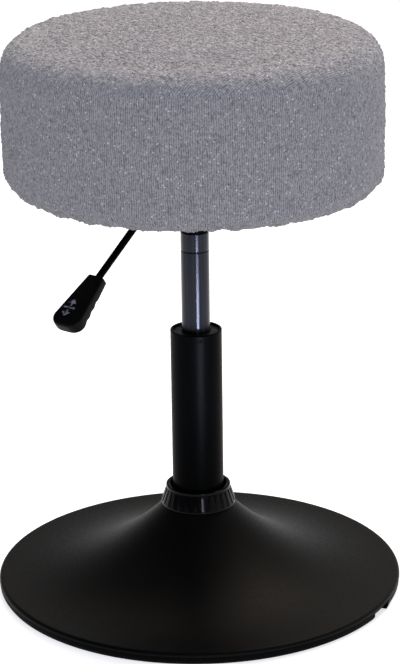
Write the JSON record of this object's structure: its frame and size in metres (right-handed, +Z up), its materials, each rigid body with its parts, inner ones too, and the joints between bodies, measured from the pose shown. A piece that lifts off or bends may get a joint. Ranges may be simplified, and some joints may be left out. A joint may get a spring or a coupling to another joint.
{
  "type": "swivel vanity stool",
  "caption": "Round drum stool in grey nubby fabric on a black gas lift column and trumpet foot; the seat swivels, lowers on its lift and has a release lever with a paddle handle",
  "frame": {"origin": "on the floor under the column, the middle of the round foot", "axes": "+Z up along the column; -Y towards the side the picture was taken from, +X to its right"},
  "size_m": [0.4066, 0.4066, 0.5651],
  "materials": {
    "black_powder_coat": "satin",
    "gloss_black_steel": "gloss",
    "black_rubber": "matte",
    "black_plastic": "satin",
    "grey_plastic": "satin",
    "zinc_steel": "satin",
    "turned_aluminium": "satin",
    "plywood": "matte",
    "seat_foam": "matte",
    "grey_boucle": "matte",
    "black_nonwoven": "matte"
  },
  "bodies": {
    "foot": {"trumpet_base_shell": "black_powder_coat", "base_socket": "black_powder_coat", "edge_trim_ring": "black_rubber", "ribbed_collar": "black_plastic", "outer_tube": "black_powder_coat", "tube_foot": "zinc_steel", "guide_bush": "grey_plastic", "lower_race": "zinc_steel"},
    "cage": {"ball_cage": "zinc_steel", "ball_1": "zinc_steel", "ball_2": "zinc_steel", "ball_3": "zinc_steel", "ball_4": "zinc_steel", "ball_5": "zinc_steel", "ball_6": "zinc_steel", "ball_7": "zinc_steel", "ball_8": "zinc_steel"},
    "rod": {"upper_race": "zinc_steel", "piston_rod": "zinc_steel", "foot_washer": "zinc_steel", "foot_clip": "zinc_steel", "rubber_buffer": "black_rubber", "piston": "turned_aluminium", "piston_seal": "black_rubber"},
    "seat": {"lift_cylinder": "gloss_black_steel", "rod_gland": "black_plastic", "valve_body": "turned_aluminium", "taper_hub": "black_powder_coat", "bracket_channel": "black_powder_coat", "seat_plate": "black_powder_coat", "bolt_1": "zinc_steel", "bolt_2": "zinc_steel", "bolt_3": "zinc_steel", "bolt_4": "zinc_steel", "spring_washer_1": "zinc_steel", "spring_washer_2": "zinc_steel", "spring_washer_3": "zinc_steel", "spring_washer_4": "zinc_steel", "t_nut_1": "zinc_steel", "t_nut_2": "zinc_steel", "t_nut_3": "zinc_steel", "t_nut_4": "zinc_steel", "pivot_pin": "zinc_steel", "pin_clip_1": "zinc_steel", "pin_clip_2": "zinc_steel", "seat_board": "plywood", "seat_foam": "seat_foam", "cover_top": "grey_boucle", "cover_band": "grey_boucle", "dust_cover": "black_nonwoven"},
    "lever": {"lever_rod": "black_powder_coat", "lever_sleeve": "black_powder_coat", "lever_handle": "black_plastic"},
    "button": {"release_button": "zinc_steel"}
  },
  "joints": [
    {"name": "swivel", "type": "hinge", "parent": "foot", "child": "rod", "pos_m": [0, 0, 0.033], "axis": [0, 0, 1], "continuous": true},
    {"name": "cage_turn", "type": "hinge", "parent": "foot", "child": "cage", "pos_m": [0, 0, 0.033], "axis": [0, 0, 1], "continuous": true},
    {"name": "lift", "type": "slide", "parent": "rod", "child": "seat", "axis": [0, 0, 1], "range_m": [-0.08, 0]},
    {"name": "lever_lift", "type": "hinge", "parent": "seat", "child": "lever", "pos_m": [-0.02057, -0.02451, 0.4032], "axis": [-0.766, 0.6428, 0], "range_deg": [0, 6], "stiffness_Nm_per_rad": 0.6, "springref_deg": -14.32},
    {"name": "button_press", "type": "slide", "parent": "seat", "child": "button", "axis": [0, 0, -1], "range_m": [0, 0.0034]}
  ],
  "couplings": [
    {"joint": "cage_turn", "follows": "swivel", "ratio": 0.5},
    {"joint": "button_press", "follows": "lever_lift", "m_per_rad": 0.032}
  ]
}
